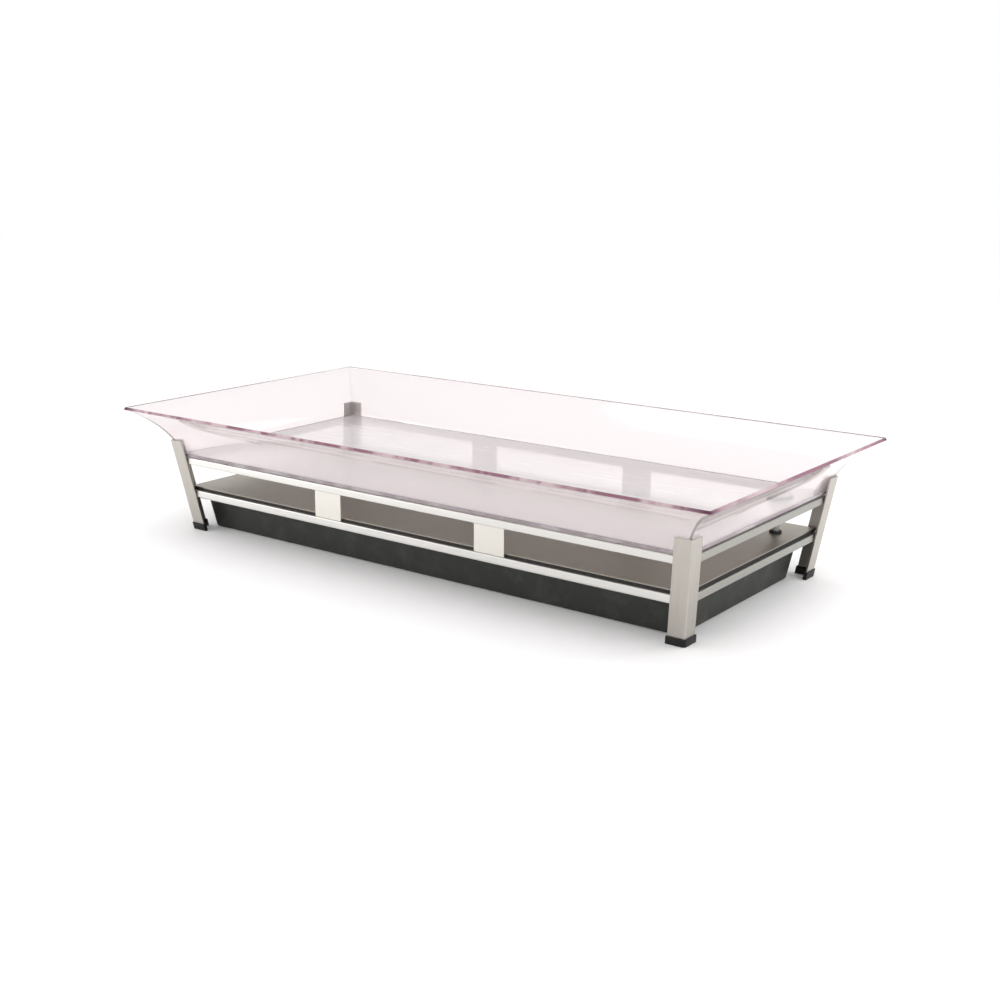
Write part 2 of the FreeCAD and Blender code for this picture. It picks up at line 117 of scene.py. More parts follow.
def power(name, description, watts):
    """A property for the power of a light."""
    return FloatProperty(name=name, description=description, default=watts, min=0.0, unit="POWER")


def colour(name, description, hex_colour):
    """A property for a colour, given here as sRGB hex."""
    return FloatVectorProperty(
        name=name, description=description, default=linear(hex_colour), size=4, min=0.0, max=1.0,
        subtype="COLOR",
    )


class TraySettings(bpy.types.PropertyGroup):
    """Sizes and colours of the clear tray and the pads under it"""

    rim_slope: angle("Rim slope", "Slope of the sheet at the rim, above level", 26.0)
    foot_slope: angle("Foot slope", "Slope of the sheet where it stands on the floor", 73.5)
    flare_steps: IntProperty(
        name="Flare steps", description="Facets along the curve of a wall", default=24, min=4, max=64
    )
    edge_round: length("Polished edge", "Rounding of the flame-polished edges", 0.6)
    corner_round: length("Polished corner", "Rounding of the cemented corners between the walls", 1.2)
    cement_fillet: length("Cement fillet", "Fillet of cement round the floor", 1.5)
    hole_gap: length("Hole gap", "Room between the drain's barrel and the floor's hole", 0.5)
    wall_clear: share("Wall clearness", "Light that goes straight through a face of a wall", 0.85)
    floor_clear: share("Floor clearness", "Light that goes straight through the floor's worn top", 0.55)
    wall_wear: share("Wall wear", "Roughness of the scratches on a wall", 0.12)
    floor_wear: share("Floor wear", "Roughness of the scratches on the floor's upper face", 0.3)
    tint: colour("Sheet tint", "Colour that light takes on through a wall", "#f8f1f2")
    # Painted light: the rim edge's colours stand for light piped along the sheet, pale where it comes through
    # and deepest at the corners
    edge_deep: colour("Edge, deep", "Rim edge at the corners, where two sheets' colour adds up", "#5a2042")
    edge_dash: colour("Edge, dash", "Rim edge where the sheet is seen lengthways", "#905e72")
    edge_pale: colour("Edge, pale", "Rim edge where light comes through", "#d2babe")
    # Painted shadow: the floor edge's grey stands for the shadowed gap between the tray's floor and the rail,
    # and its pale is painted light coming through
    floor_edge: colour("Floor edge", "Cut edge of the floor sheet", "#a99ca2")
    floor_edge_pale: colour("Floor edge, pale", "Cut edge of the floor where light comes through", "#c6bcc1")
    bumper: length("Bumper", "Diameter of a pad", 6.0)
    bumper_spacing: length("Bumper spacing", "Between the pads on a long rail", 420.0)
    bumper_tint: colour("Bumper tint", "Clear soft pads", "#e9e9e6")


class SteelSettings(bpy.types.PropertyGroup):
    """Finish of the stainless tube and sheet"""

    streak_width: length("Streak width", "Width of a brushed line", 1.2)
    streak_run: length("Streak run", "Length of a brushed line", 140.0)
    leg_flange: length("Leg flange", "Width of each flange of a leg", 30.0)
    leg_sheet: length("Leg sheet", "Thickness of the legs", 3.0)
    leg_corner: length("Leg corner", "Outer radius of a leg's corner", 3.0)
    splay_x: angle("Splay, length", "Lean of the legs along the length", 7.5)
    splay_y: angle("Splay, width", "Lean of the legs across the width", 9.3)
    tube_corner: length("Tube corner", "Corner radius of the rails' tube", 1.5)
    weld_leg: length("Weld leg", "Leg of the ground fillet welds", 1.6)
    edge_ease: length("Eased edge", "Rounding of the edges of legs and plates", 0.5)
    brace_corner: length("Brace corner", "Corner radius of the braces", 1.0)
    stop_corner: length("Stop corner", "Corner radius of the pan's stop plate", 5.0)
    leg_light: colour("Leg, light", "Crests of the brushed lines on the legs", "#c9c4bd")
    leg_dark: colour("Leg, dark", "Furrows of the brushed lines on the legs", "#a9a49d")
    tube_light: colour("Tube, light", "Crests of the brushed lines on tube", "#e0deda")
    tube_dark: colour("Tube, dark", "Furrows of the brushed lines on tube", "#cac8c4")
    # Painted shade: the end rails and the stop plate take a darker copy of the tube's steel
    end_light: colour("End tube, light", "Crests of the brushed lines on the end rails", "#acaaa5")
    end_dark: colour("End tube, dark", "Furrows of the brushed lines on the end rails", "#989690")
    brace_light: colour("Brace, light", "Crests of the brushed lines on the braces", "#e1ddd5")
    brace_dark: colour("Brace, dark", "Furrows of the brushed lines on the braces", "#d1cdc5")
    # Painted shade: the shelf takes a darker, browner copy of the steel, for the shade under the tray
    shelf_light: colour("Shelf, light", "Crests of the brushed lines on the shelf", "#aca59a")
    shelf_dark: colour("Shelf, dark", "Furrows of the brushed lines on the shelf", "#969085")


class PanSettings(bpy.types.PropertyGroup):
    """Sizes and colours of the black drain pan"""

    wall: length("Wall", "Thickness of the walls and floor", 3.0)
    rim_sheet: length("Rim sheet", "Thickness of the rim", 2.5)
    side_rim: length("Side rim", "Width of the rim that rides on the runners", 5.0)
    end_rim: length("End rim", "Width of the rim at the ends", 11.0)
    draft: angle("Draft", "Lean of the walls", 9.3)
    corner: length("Corner", "Corner radius at the top of the walls", 10.0)
    base_round: length("Base rounding", "Rounding of the lower edge", 2.5)
    inside_round: length("Inside rounding", "Rounding where the walls meet the floor inside", 4.0)
    rim_round: length("Rim rounding", "Rounding of the rim's edges", 0.8)
    grain: length("Grain", "Size of the moulded grain", 1.4)
    face: colour("Face", "Black plastic", "#2b2d29")
    scuffed: colour("Scuffed", "Black plastic where it is rubbed", "#464743")


class FittingSettings(bpy.types.PropertyGroup):
    """Sizes and colours of the feet, seals and drain"""

    foot_height: length("Foot height", "Height of a foot's cap", 13.0)
    foot_sole: length("Foot sole", "Cap under the leg's end", 7.0)
    foot_wall: length("Foot wall", "Cap round the leg's end", 2.0)
    foot_fit: length("Foot fit", "Room between the leg and the cap's groove", 0.1)
    foot_round: length("Foot rounding", "Rounding of a cap's edges", 0.8)
    barrel: length("Barrel", "Outer diameter of the drain's barrel", 26.0)
    bore: length("Bore", "Bore of the drain's barrel", 19.0)
    outlet: length("Outlet", "Outlet in the barrel's end", 12.0)
    flange_sheet: length("Flange", "Thickness of the drain's flange", 4.0)
    barrel_end: length("Barrel end", "Thickness of the barrel's end", 3.0)
    recess: length("Recess", "Recess for the strainer, across", 34.8)
    thread_pitch: length("Thread pitch", "From one thread to the next", 2.0)
    thread_depth: length("Thread depth", "Depth of a thread", 0.7)
    nut_fit: length("Nut fit", "Room between the barrel and its locknut", 0.1)
    nut_round: length("Nut rounding", "Rounding of the locknut's edges", 0.7)
    strainer_sheet: length("Strainer sheet", "Thickness of the strainer", 1.5)
    strainer_round: length("Strainer rounding", "Rounding of the strainer's edges", 0.25)
    strainer_hole: length("Strainer hole", "Diameter of a hole in the strainer", 3.0)
    inner_ring: length("Inner ring", "Radius of the inner ring of holes", 7.0)
    outer_ring: length("Outer ring", "Radius of the outer ring of holes", 12.0)
    inner_holes: IntProperty(name="Inner holes", description="Holes in the inner ring", default=6, min=1)
    outer_holes: IntProperty(name="Outer holes", description="Holes in the outer ring", default=12, min=1)
    knob: length("Knob", "Diameter of the strainer's knob", 7.0)
    grommet_bore: length("Grommet bore", "Bore of the shelf's grommet", 14.0)
    grommet_neck: length("Grommet neck", "Wall of the grommet in the shelf's hole", 1.3)
    grain: length("Grain", "Size of the moulded grain", 0.9)
    moulded: colour("Moulded black", "Feet and drain", "#111110")
    rubber: colour("Rubber", "Strips, gasket and grommet", "#191918")
    rubber_bloom: colour("Rubber bloom", "Dull bloom on the rubber", "#2a2a29")


class StageSettings(bpy.types.PropertyGroup):
    """Floor, light and camera"""

    floor: colour("Floor", "Pale floor", "#ffffff")
    floor_reach: length("Floor reach", "Radius of the floor", 9000.0)
    ambient: FloatProperty(name="Ambient", description="Strength of light all round", default=1.0, min=0.0)
    overhead: power("Overhead", "Power of the softbox above", 10.0)
    key: power("Key", "Power of the softbox at the back right", 9.0)
    fill: power("Fill", "Power of the softbox at the front left", 14.0)
    side: power("Side", "Power of the softbox at the right-hand end", 12.0)
    lens: FloatProperty(name="Lens", description="Focal length", default=50.5136, unit="CAMERA")
    heading: angle("Heading", "Camera's turn from straight at the front", 36.8485)
    tilt: angle("Tilt", "Camera's look downwards", 14.4823)
    roll: angle("Roll", "Camera's roll", 0.2183)


SETTINGS = {
    "pedestal_tray": TraySettings,
    "pedestal_steel": SteelSettings,
    "pedestal_pan": PanSettings,
    "pedestal_fittings": FittingSettings,
    "pedestal_stage": StageSettings,
}


# Node materials

def add_node(tree, kind, inputs=(), **settings):
    """Adds a node with its settings, its constant inputs and its links."""
    made = tree.nodes.new(kind)
    for name, value in settings.items():
        setattr(made, name, value)
    for name, value in dict(inputs).items():
        if isinstance(value, bpy.types.NodeSocket):
            tree.links.new(value, made.inputs[name])
        else:
            made.inputs[name].default_value = value
    return made


def new_material(name):
    """An empty node material, its tree and its Object coordinates."""
    made = bpy.data.materials.new(name)
    made.use_nodes = True
    tree = made.node_tree
    tree.nodes.clear()
    return made, tree, add_node(tree, "ShaderNodeTexCoord").outputs["Object"]


def shared(build, name, *details):
    """The named material, made the first time that it is asked for."""
    return bpy.data.materials.get(name) or build(name, *details)


def satin_stainless(name, light, dark, axis, splayed):
    """304 stainless, belt-brushed to a satin: grit lines one way, crossed by faint smears of wiping."""
    # Real grit lines are about 0.1 mm apart. They are drawn at streak_width so that they show.
    steel = bpy.context.scene.pedestal_steel
    line_depth, smear_size = 0.1 * MM, 70 * MM
    furrow_rough, crest_rough, smear_rough = 0.27, 0.36, 0.10
    made, tree, place = new_material(name)
    along = place
    if splayed:
        # The lines follow the legs, which lean the same way outwards at all four corners
        lean = (math.tan(steel.splay_x), math.tan(steel.splay_y), 0.0)
        height = add_node(tree, "ShaderNodeSeparateXYZ", {"Vector": place}).outputs["Z"]
        out = add_node(tree, "ShaderNodeVectorMath", {0: place}, operation="ABSOLUTE")
        drift = add_node(tree, "ShaderNodeVectorMath", {0: lean, "Scale": height}, operation="SCALE")
        along = add_node(
            tree, "ShaderNodeVectorMath", {0: out.outputs[0], 1: drift.outputs[0]}, operation="SUBTRACT"
        ).outputs[0]
    stretch = [1 / steel.streak_width] * 3
    stretch[axis] = 1 / steel.streak_run
    grit = add_node(tree, "ShaderNodeMapping", {"Vector": along, "Scale": stretch})
    lines = add_node(
        tree, "ShaderNodeTexNoise",
        {"Vector": grit.outputs["Vector"], "Scale": 1.0, "Detail": 3.0, "Roughness": 0.65},
    )
    smears = add_node(tree, "ShaderNodeTexNoise", {"Vector": place, "Scale": 1 / smear_size, "Detail": 2.0})
    tone = add_node(tree, "ShaderNodeMix", {0: lines.outputs["Fac"], 6: dark, 7: light}, data_type="RGBA")
    base_rough = add_node(
        tree, "ShaderNodeMapRange",
        {
            "Value": lines.outputs["Fac"], "From Min": 0.3, "From Max": 0.7,
            "To Min": furrow_rough, "To Max": crest_rough,
        },
    )
    rough = add_node(
        tree, "ShaderNodeMath",
        {0: smears.outputs["Fac"], 1: smear_rough, 2: base_rough.outputs["Result"]}, operation="MULTIPLY_ADD",
    )
    furrows = add_node(
        tree, "ShaderNodeBump", {"Height": lines.outputs["Fac"], "Strength": 0.12, "Distance": line_depth}
    )
    surface = add_node(tree, "ShaderNodeBsdfPrincipled", {
        "Base Color": tone.outputs[2], "Metallic": 1.0, "Roughness": rough.outputs[0],
        "Normal": furrows.outputs["Normal"],
    })
    add_node(tree, "ShaderNodeOutputMaterial", {"Surface": surface.outputs["BSDF"]})
    return made


def cast_acrylic(name, clear, wear):
    """Cast acrylic sheet, polished and faintly lilac: clear, with hairline scratches and a haze of wear."""
    made, tree, place = new_material(name)
    # Wiping scratches run mostly along the tray, some 0.05 mm wide. They are drawn wider so that they show.
    scratch_run, scratch_width, scratch_turn = 160 * MM, 0.8 * MM, math.radians(7)
    haze_size, haze_rough = 110 * MM, 0.12
    run = add_node(tree, "ShaderNodeMapping", {
        "Vector": place, "Rotation": (0.0, 0.0, scratch_turn),
        "Scale": (1 / scratch_run, 1 / scratch_width, 1 / scratch_width),
    })
    lines = add_node(
        tree, "ShaderNodeTexNoise", {"Vector": run.outputs["Vector"], "Scale": 1.0, "Detail": 2.0}
    )
    scratches = add_node(
        tree, "ShaderNodeMapRange",
        {"Value": lines.outputs["Fac"], "From Min": 0.66, "From Max": 0.74, "To Min": 0.0, "To Max": wear},
    )
    haze = add_node(tree, "ShaderNodeTexNoise", {"Vector": place, "Scale": 1 / haze_size, "Detail": 3.0})
    rough = add_node(
        tree, "ShaderNodeMath",
        {0: haze.outputs["Fac"], 1: haze_rough, 2: scratches.outputs["Result"]}, operation="MULTIPLY_ADD",
    )
    surface = add_node(tree, "ShaderNodeBsdfPrincipled", {
        "Base Color": bpy.context.scene.pedestal_tray.tint, "Roughness": rough.outputs[0],
        "IOR": ACRYLIC_IOR, "Transmission Weight": clear,
    })
    add_node(tree, "ShaderNodeOutputMaterial", {"Surface": surface.outputs["BSDF"]})
    return made


def acrylic_edge(name, dash, pale):
    """Flame-polished edge of tinted acrylic. Its colour is painted light piped along the sheet, which gathers
    the sheet's colour: pale where light comes through, deeper in dashes, deepest at the corners.
    """
    tray = bpy.context.scene.pedestal_tray
    rim = (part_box("tray_wall_right")[1].x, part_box("tray_wall_back")[1].y, 1.0)
    made, tree, place = new_material(name)
    # The painted light gathers in dashes, shorter on the long edges than on the ends
    long_dash, end_dash = 45 * MM, 120 * MM
    run = add_node(
        tree, "ShaderNodeMapping", {"Vector": place, "Scale": (1 / long_dash, 1 / end_dash, 1 / end_dash)}
    )
    patches = add_node(
        tree, "ShaderNodeTexNoise",
        {"Vector": run.outputs["Vector"], "Scale": 1.0, "Detail": 3.0, "Roughness": 0.6},
    )
    glow = add_node(
        tree, "ShaderNodeMapRange",
        {"Value": patches.outputs["Fac"], "From Min": 0.44, "From Max": 0.6, "To Min": 0.0, "To Max": 1.0},
    )
    along = add_node(tree, "ShaderNodeMix", {0: glow.outputs["Result"], 6: dash, 7: pale}, data_type="RGBA")
    out = add_node(tree, "ShaderNodeVectorMath", {0: place}, operation="ABSOLUTE")
    # 1 at the rim, 0 at the middle
    reach = add_node(tree, "ShaderNodeVectorMath", {0: out.outputs[0], 1: rim}, operation="DIVIDE")
    split = add_node(tree, "ShaderNodeSeparateXYZ", {"Vector": reach.outputs[0]})
    nearest = add_node(
        tree, "ShaderNodeMath", {0: split.outputs["X"], 1: split.outputs["Y"]}, operation="MINIMUM"
    )
    # Painted light piping: the edge is painted deepest at the corners
    corner = add_node(
        tree, "ShaderNodeMapRange",
        {"Value": nearest.outputs[0], "From Min": 0.9, "From Max": 0.985, "To Min": 0.0, "To Max": 1.0},
    )
    tone = add_node(
        tree, "ShaderNodeMix",
        {0: corner.outputs["Result"], 6: along.outputs[2], 7: tray.edge_deep}, data_type="RGBA",
    )
    rough = add_node(
        tree, "ShaderNodeMapRange", {"Value": patches.outputs["Fac"], "To Min": 0.08, "To Max": 0.22}
    )
    surface = add_node(tree, "ShaderNodeBsdfPrincipled", {
        "Base Color": tone.outputs[2], "Roughness": rough.outputs["Result"], "IOR": ACRYLIC_IOR,
        "Transmission Weight": 0.3,
    })
    add_node(tree, "ShaderNodeOutputMaterial", {"Surface": surface.outputs["BSDF"]})
    return made


def grained_black(name, face, scuffed, grain):
    """Moulded ABS with a fine spark-eroded grain: matt black, paler where it has been rubbed."""
    # Real grain is about 0.3 mm. It is drawn at the size given so that it shows.
    grain_depth, rub_size = 0.15 * MM, 45 * MM
    plain_rough, rubbed_rough = 0.6, 0.4
    made, tree, place = new_material(name)
    pits = add_node(tree, "ShaderNodeTexNoise", {"Vector": place, "Scale": 1 / grain, "Detail": 2.0})
    rubs = add_node(
        tree, "ShaderNodeTexNoise", {"Vector": place, "Scale": 1 / rub_size, "Detail": 5.0, "Roughness": 0.7}
    )
    worn = add_node(
        tree, "ShaderNodeMapRange",
        {"Value": rubs.outputs["Fac"], "From Min": 0.48, "From Max": 0.78, "To Min": 0.0, "To Max": 0.55},
    )
    tone = add_node(tree, "ShaderNodeMix", {0: worn.outputs["Result"], 6: face, 7: scuffed}, data_type="RGBA")
    rough = add_node(
        tree, "ShaderNodeMapRange",
        {"Value": rubs.outputs["Fac"], "To Min": plain_rough, "To Max": rubbed_rough},
    )
    texture = add_node(
        tree, "ShaderNodeBump", {"Height": pits.outputs["Fac"], "Strength": 0.25, "Distance": grain_depth}
    )
    surface = add_node(tree, "ShaderNodeBsdfPrincipled", {
        "Base Color": tone.outputs[2], "Roughness": rough.outputs["Result"], "IOR": 1.5,
        "Specular IOR Level": 0.3, "Normal": texture.outputs["Normal"],
    })
    add_node(tree, "ShaderNodeOutputMaterial", {"Surface": surface.outputs["BSDF"]})
    return made


def sheet_rubber(name):
    """EPDM rubber, extruded or cut from sheet: dull black with a dusty bloom."""
    fittings = bpy.context.scene.pedestal_fittings
    bloom_size, skin_size, skin_depth = 14 * MM, 0.9 * MM, 0.1 * MM
    made, tree, place = new_material(name)
    bloom = add_node(
        tree, "ShaderNodeTexNoise",
        {"Vector": place, "Scale": 1 / bloom_size, "Detail": 4.0, "Roughness": 0.6},
    )
    tone = add_node(
        tree, "ShaderNodeMix",
        {0: bloom.outputs["Fac"], 6: fittings.rubber, 7: fittings.rubber_bloom}, data_type="RGBA",
    )
    rough = add_node(
        tree, "ShaderNodeMapRange", {"Value": bloom.outputs["Fac"], "To Min": 0.62, "To Max": 0.85}
    )
    skin = add_node(tree, "ShaderNodeTexNoise", {"Vector": place, "Scale": 1 / skin_size, "Detail": 1.0})
    texture = add_node(
        tree, "ShaderNodeBump", {"Height": skin.outputs["Fac"], "Strength": 0.2, "Distance": skin_depth}
    )
    surface = add_node(tree, "ShaderNodeBsdfPrincipled", {
        "Base Color": tone.outputs[2], "Roughness": rough.outputs["Result"], "IOR": 1.48,
        "Normal": texture.outputs["Normal"],
    })
    add_node(tree, "ShaderNodeOutputMaterial", {"Surface": surface.outputs["BSDF"]})
    return made


def soft_clear(name):
    """Clear polyurethane or vinyl, cast or extruded: soft and slightly cloudy."""
    made, tree, place = new_material(name)
    cloud_size = 8 * MM
    cloud = add_node(tree, "ShaderNodeTexNoise", {"Vector": place, "Scale": 1 / cloud_size, "Detail": 2.0})
    rough = add_node(
        tree, "ShaderNodeMapRange", {"Value": cloud.outputs["Fac"], "To Min": 0.2, "To Max": 0.3}
    )
    surface = add_node(tree, "ShaderNodeBsdfPrincipled", {
        "Base Color": bpy.context.scene.pedestal_tray.bumper_tint, "Roughness": rough.outputs["Result"],
        "IOR": 1.5, "Transmission Weight": 0.8,
    })
    add_node(tree, "ShaderNodeOutputMaterial", {"Surface": surface.outputs["BSDF"]})
    return made


def pale_paper(name):
    """Seamless backdrop paper: pale, matt and even."""
    made, tree, place = new_material(name)
    tooth_size = 2 * MM
    tooth = add_node(tree, "ShaderNodeTexNoise", {"Vector": place, "Scale": 1 / tooth_size, "Detail": 1.0})
    rough = add_node(
        tree, "ShaderNodeMapRange", {"Value": tooth.outputs["Fac"], "To Min": 0.75, "To Max": 0.9}
    )
    surface = add_node(tree, "ShaderNodeBsdfPrincipled", {
        "Base Color": bpy.context.scene.pedestal_stage.floor, "Roughness": rough.outputs["Result"],
        "Specular IOR Level": 0.2,
    })
    add_node(tree, "ShaderNodeOutputMaterial", {"Surface": surface.outputs["BSDF"]})
    return made


def brushed(part):
    """The satin finish of a kind of part, its lines along the part's own length."""
    steel = bpy.context.scene.pedestal_steel
    light, dark = getattr(steel, part + "_light"), getattr(steel, part + "_dark")
    return shared(
        satin_stainless, "satin_stainless_" + part, light, dark, BRUSHED_ALONG[part], part == "leg"
    )


def moulded_black():
    """The finish of feet and drain."""
    fittings = bpy.context.scene.pedestal_fittings
    return shared(grained_black, "moulded_black", fittings.moulded, fittings.rubber_bloom, fittings.grain)


# Mesh helpers

def round_corners(bm, verts, width, segments):
    """Rounds corners of a flat outline to a circular profile."""
    bmesh.ops.bevel(
        bm, geom=verts, offset=width, offset_type="OFFSET", segments=segments, profile=0.5,
        affect="VERTICES", material=-1,
    )


def round_edges(bm, edges, width, segments):
    """Rounds edges to a circular profile."""
    bmesh.ops.bevel(
        bm, geom=edges, offset=width, offset_type="OFFSET", segments=segments, profile=0.5,
        affect="EDGES", clamp_overlap=True, material=-1,
    )


def sharp_edges(bm):
    """The edges between two faces that meet at a corner."""
    return [e for e in bm.edges if e.calc_face_angle(0.0) > SHARP]


def draw_out(bm, faces, move):
    """Extrudes faces along a vector."""
    grown = bmesh.ops.extrude_face_region(bm, geom=faces)["geom"]
    bmesh.ops.translate(bm, vec=move, verts=[g for g in grown if isinstance(g, bmesh.types.BMVert)])


def level_ring(half_x, half_y, z, corner, segments):
    """A bmesh that holds one level rectangle of edges about the origin, its corners rounded."""
    bm = bmesh.new()
    bmesh.ops.create_grid(bm, x_segments=1, y_segments=1, size=1.0)
    bmesh.ops.scale(bm, vec=(half_x, half_y, 1.0), verts=bm.verts)
    bmesh.ops.translate(bm, vec=(0.0, 0.0, z), verts=bm.verts)
    round_corners(bm, bm.verts[:], corner, segments)
    bmesh.ops.delete(bm, geom=bm.faces[:], context="FACES_ONLY")
    return bm


def raise_rings(bm, stations):
    """Extrudes a level ring through stations of half length, half width and height. Returns the rings."""
    rings = [bm.edges[:]]
    for old, new in zip(stations, stations[1:]):
        grown = bmesh.ops.extrude_edge_only(bm, edges=rings[-1])["geom"]
        verts = {g for g in grown if isinstance(g, bmesh.types.BMVert)}
        rings.append([g for g in grown if isinstance(g, bmesh.types.BMEdge) and verts.issuperset(g.verts)])
        bmesh.ops.scale(bm, vec=(new[0] / old[0], new[1] / old[1], 1.0), verts=list(verts))
        bmesh.ops.translate(bm, vec=(0.0, 0.0, new[2] - old[2]), verts=list(verts))
    return rings


def band(first, second):
    """The faces between two neighbouring rings."""
    return {f for e in first for f in e.link_faces} & {f for e in second for f in e.link_faces}


def fill_round_hole(bm, ring, centre, radius):
    """Fills a level ring but for one round hole. Returns the hole's edges."""
    hole = bmesh.ops.create_circle(
        bm, segments=HOLE_SIDES, radius=radius, matrix=Matrix.Translation(centre)
    )["verts"]
    edges = list({e for v in hole for e in v.link_edges})
    bmesh.ops.triangle_fill(bm, use_beauty=True, edges=ring + edges)
    return edges


def eased_plate(low, high, corner, ease):
    """A bmesh plate with corners rounded in its own plane and eased edges."""
    bm = bmesh.new()
    size = high - low
    bmesh.ops.create_cube(bm, size=1.0, matrix=Matrix.LocRotScale((low + high) / 2, None, size))
    thin = min(range(3), key=lambda axis: size[axis])
    through = [e for e in bm.edges if abs((e.verts[0].co - e.verts[1].co)[thin]) > size[thin] / 2]
    round_edges(bm, through, corner, 4)
    round_edges(bm, sharp_edges(bm), ease, 2)
    return bm


def outwards(place, x, y, z=0.0):
    """A vector that leads away from the middle on the side where place is."""
    return Vector((math.copysign(x, place.x), math.copysign(y, place.y), z))


def angle_bar(outer, lean, flange, sheet, corner, ease):
    """A bmesh bar of L-section, drawn along lean from its lower outer corner, with eased edges."""
    bm = bmesh.new()
    outline = ((0, 0), (flange, 0), (flange, sheet), (sheet, sheet), (sheet, flange), (0, flange))
    verts = [bm.verts.new(outer - outwards(outer, u, v)) for u, v in outline]
    bm.faces.new(verts)
    round_corners(bm, [verts[0]], corner, 6)
    draw_out(bm, bm.faces[:], lean)
    bmesh.ops.recalc_face_normals(bm, faces=bm.faces)
    round_edges(bm, sharp_edges(bm), ease, 2)
    return bm


def turned(profile, x, y, steps=64):
    """A bmesh solid of revolution about an upright axis, from (radius, height, rounding) points."""
    bm = bmesh.new()
    verts = [bm.verts.new((radius, 0.0, z)) for radius, z, rounding in profile]
    bm.faces.new(verts)
    for amount in sorted({rounding for radius, z, rounding in profile if rounding}):
        round_corners(bm, [v for v, point in zip(verts, profile) if point[2] == amount], amount, 3)
    bmesh.ops.delete(bm, geom=bm.faces[:], context="FACES_ONLY")
    on_axis = [e for e in bm.edges if all(v.co.x < NEAR for v in e.verts)]
    bmesh.ops.delete(bm, geom=on_axis, context="EDGES")
    bmesh.ops.spin(
        bm, geom=bm.verts[:] + bm.edges[:], cent=(0, 0, 0), axis=(0, 0, 1), angle=2 * math.pi, steps=steps,
        use_merge=True,
    )
    bmesh.ops.remove_doubles(bm, verts=bm.verts, dist=NEAR)
    bmesh.ops.recalc_face_normals(bm, faces=bm.faces)
    bmesh.ops.translate(bm, vec=(x, y, 0.0), verts=bm.verts)
    return bm


def pour(bm, target):
    """Adds one bmesh to another and frees it."""
    carrier = bpy.data.meshes.new("carrier")
    bm.to_mesh(carrier)
    bm.free()
    target.from_mesh(carrier)
    bpy.data.meshes.remove(carrier)


def new_piece(name, bm, body, nodes, materials):
    """Makes a finished piece that rides on a body, takes the finishes given and stands for CAD nodes."""
    mesh = bpy.data.meshes.new(name)
    bm.to_mesh(mesh)
    bm.free()
    for finish in materials:
        mesh.materials.append(finish)
    mesh.shade_smooth()
    mesh.set_sharp_from_angle(angle=SHARP)
    piece = bpy.data.objects.new(name, mesh)
    bpy.context.scene.collection.objects.link(piece)
    weighted = piece.modifiers.new("flat_faces", "WEIGHTED_NORMAL")
    weighted.keep_sharp = True
    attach(piece, body)
    if nodes:
        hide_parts(*nodes)


def dress(nodes, finish):
    """Gives CAD nodes a finish in place of their packed one."""
    for name in nodes:
        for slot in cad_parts[name].material_slots:
            slot.material = finish


def middle(node):
    """The middle of a node's box."""
    low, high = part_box(node)
    return (low + high) / 2


# Steel frame

def leg_line(corner):
    """A leg's outer corner at the table, and its slant for each unit of height."""
    steel = bpy.context.scene.pedestal_steel
    low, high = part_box("leg_" + corner)
    top = Vector((max(low.x, high.x, key=abs), max(low.y, high.y, key=abs), high.z))
    slant = outwards(top, math.tan(steel.splay_x), math.tan(steel.splay_y), 1.0)
    return top - slant * top.z, slant


class PEDESTAL_OT_legs(bpy.types.Operator):
    """Builds the four splayed legs of brushed angle with eased edges"""

    bl_idname = "pedestal.legs"
    bl_label = "Legs"

    def execute(self, context):
        steel = context.scene.pedestal_steel
        for corner in CORNERS:
            low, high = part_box("leg_" + corner)
            outer, slant = leg_line(corner)
            bm = angle_bar(
                outer + slant * low.z, slant * (high.z - low.z), steel.leg_flange, steel.leg_sheet,
                steel.leg_corner, steel.edge_ease,
            )
            new_piece(
                "leg_angle_" + corner, bm, "frame", ["leg_" + corner], [brushed("leg")]
            )
        return {"FINISHED"}


class PEDESTAL_OT_rails(bpy.types.Operator):
    """Brushes the two rings of rails along their length"""

    bl_idname = "pedestal.rails"
    bl_label = "Rails"

    def execute(self, context):
        dress(LONG_RAILS, brushed("tube"))
        # The end rails take a darker copy of the tube's finish: painted shade
        dress(END_RAILS, brushed("end"))
        return {"FINISHED"}


class PEDESTAL_OT_braces(bpy.types.Operator):
    """Builds the flat upright braces with eased edges"""

    bl_idname = "pedestal.braces"
    bl_label = "Braces"

    def execute(self, context):
        steel = context.scene.pedestal_steel
        for corner in CORNERS:
            low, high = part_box("brace_" + corner)
            bm = eased_plate(low, high, steel.brace_corner, steel.edge_ease)
            new_piece(
                "brace_plate_" + corner, bm, "frame", ["brace_" + corner],
                [brushed("brace")],
            )
        return {"FINISHED"}


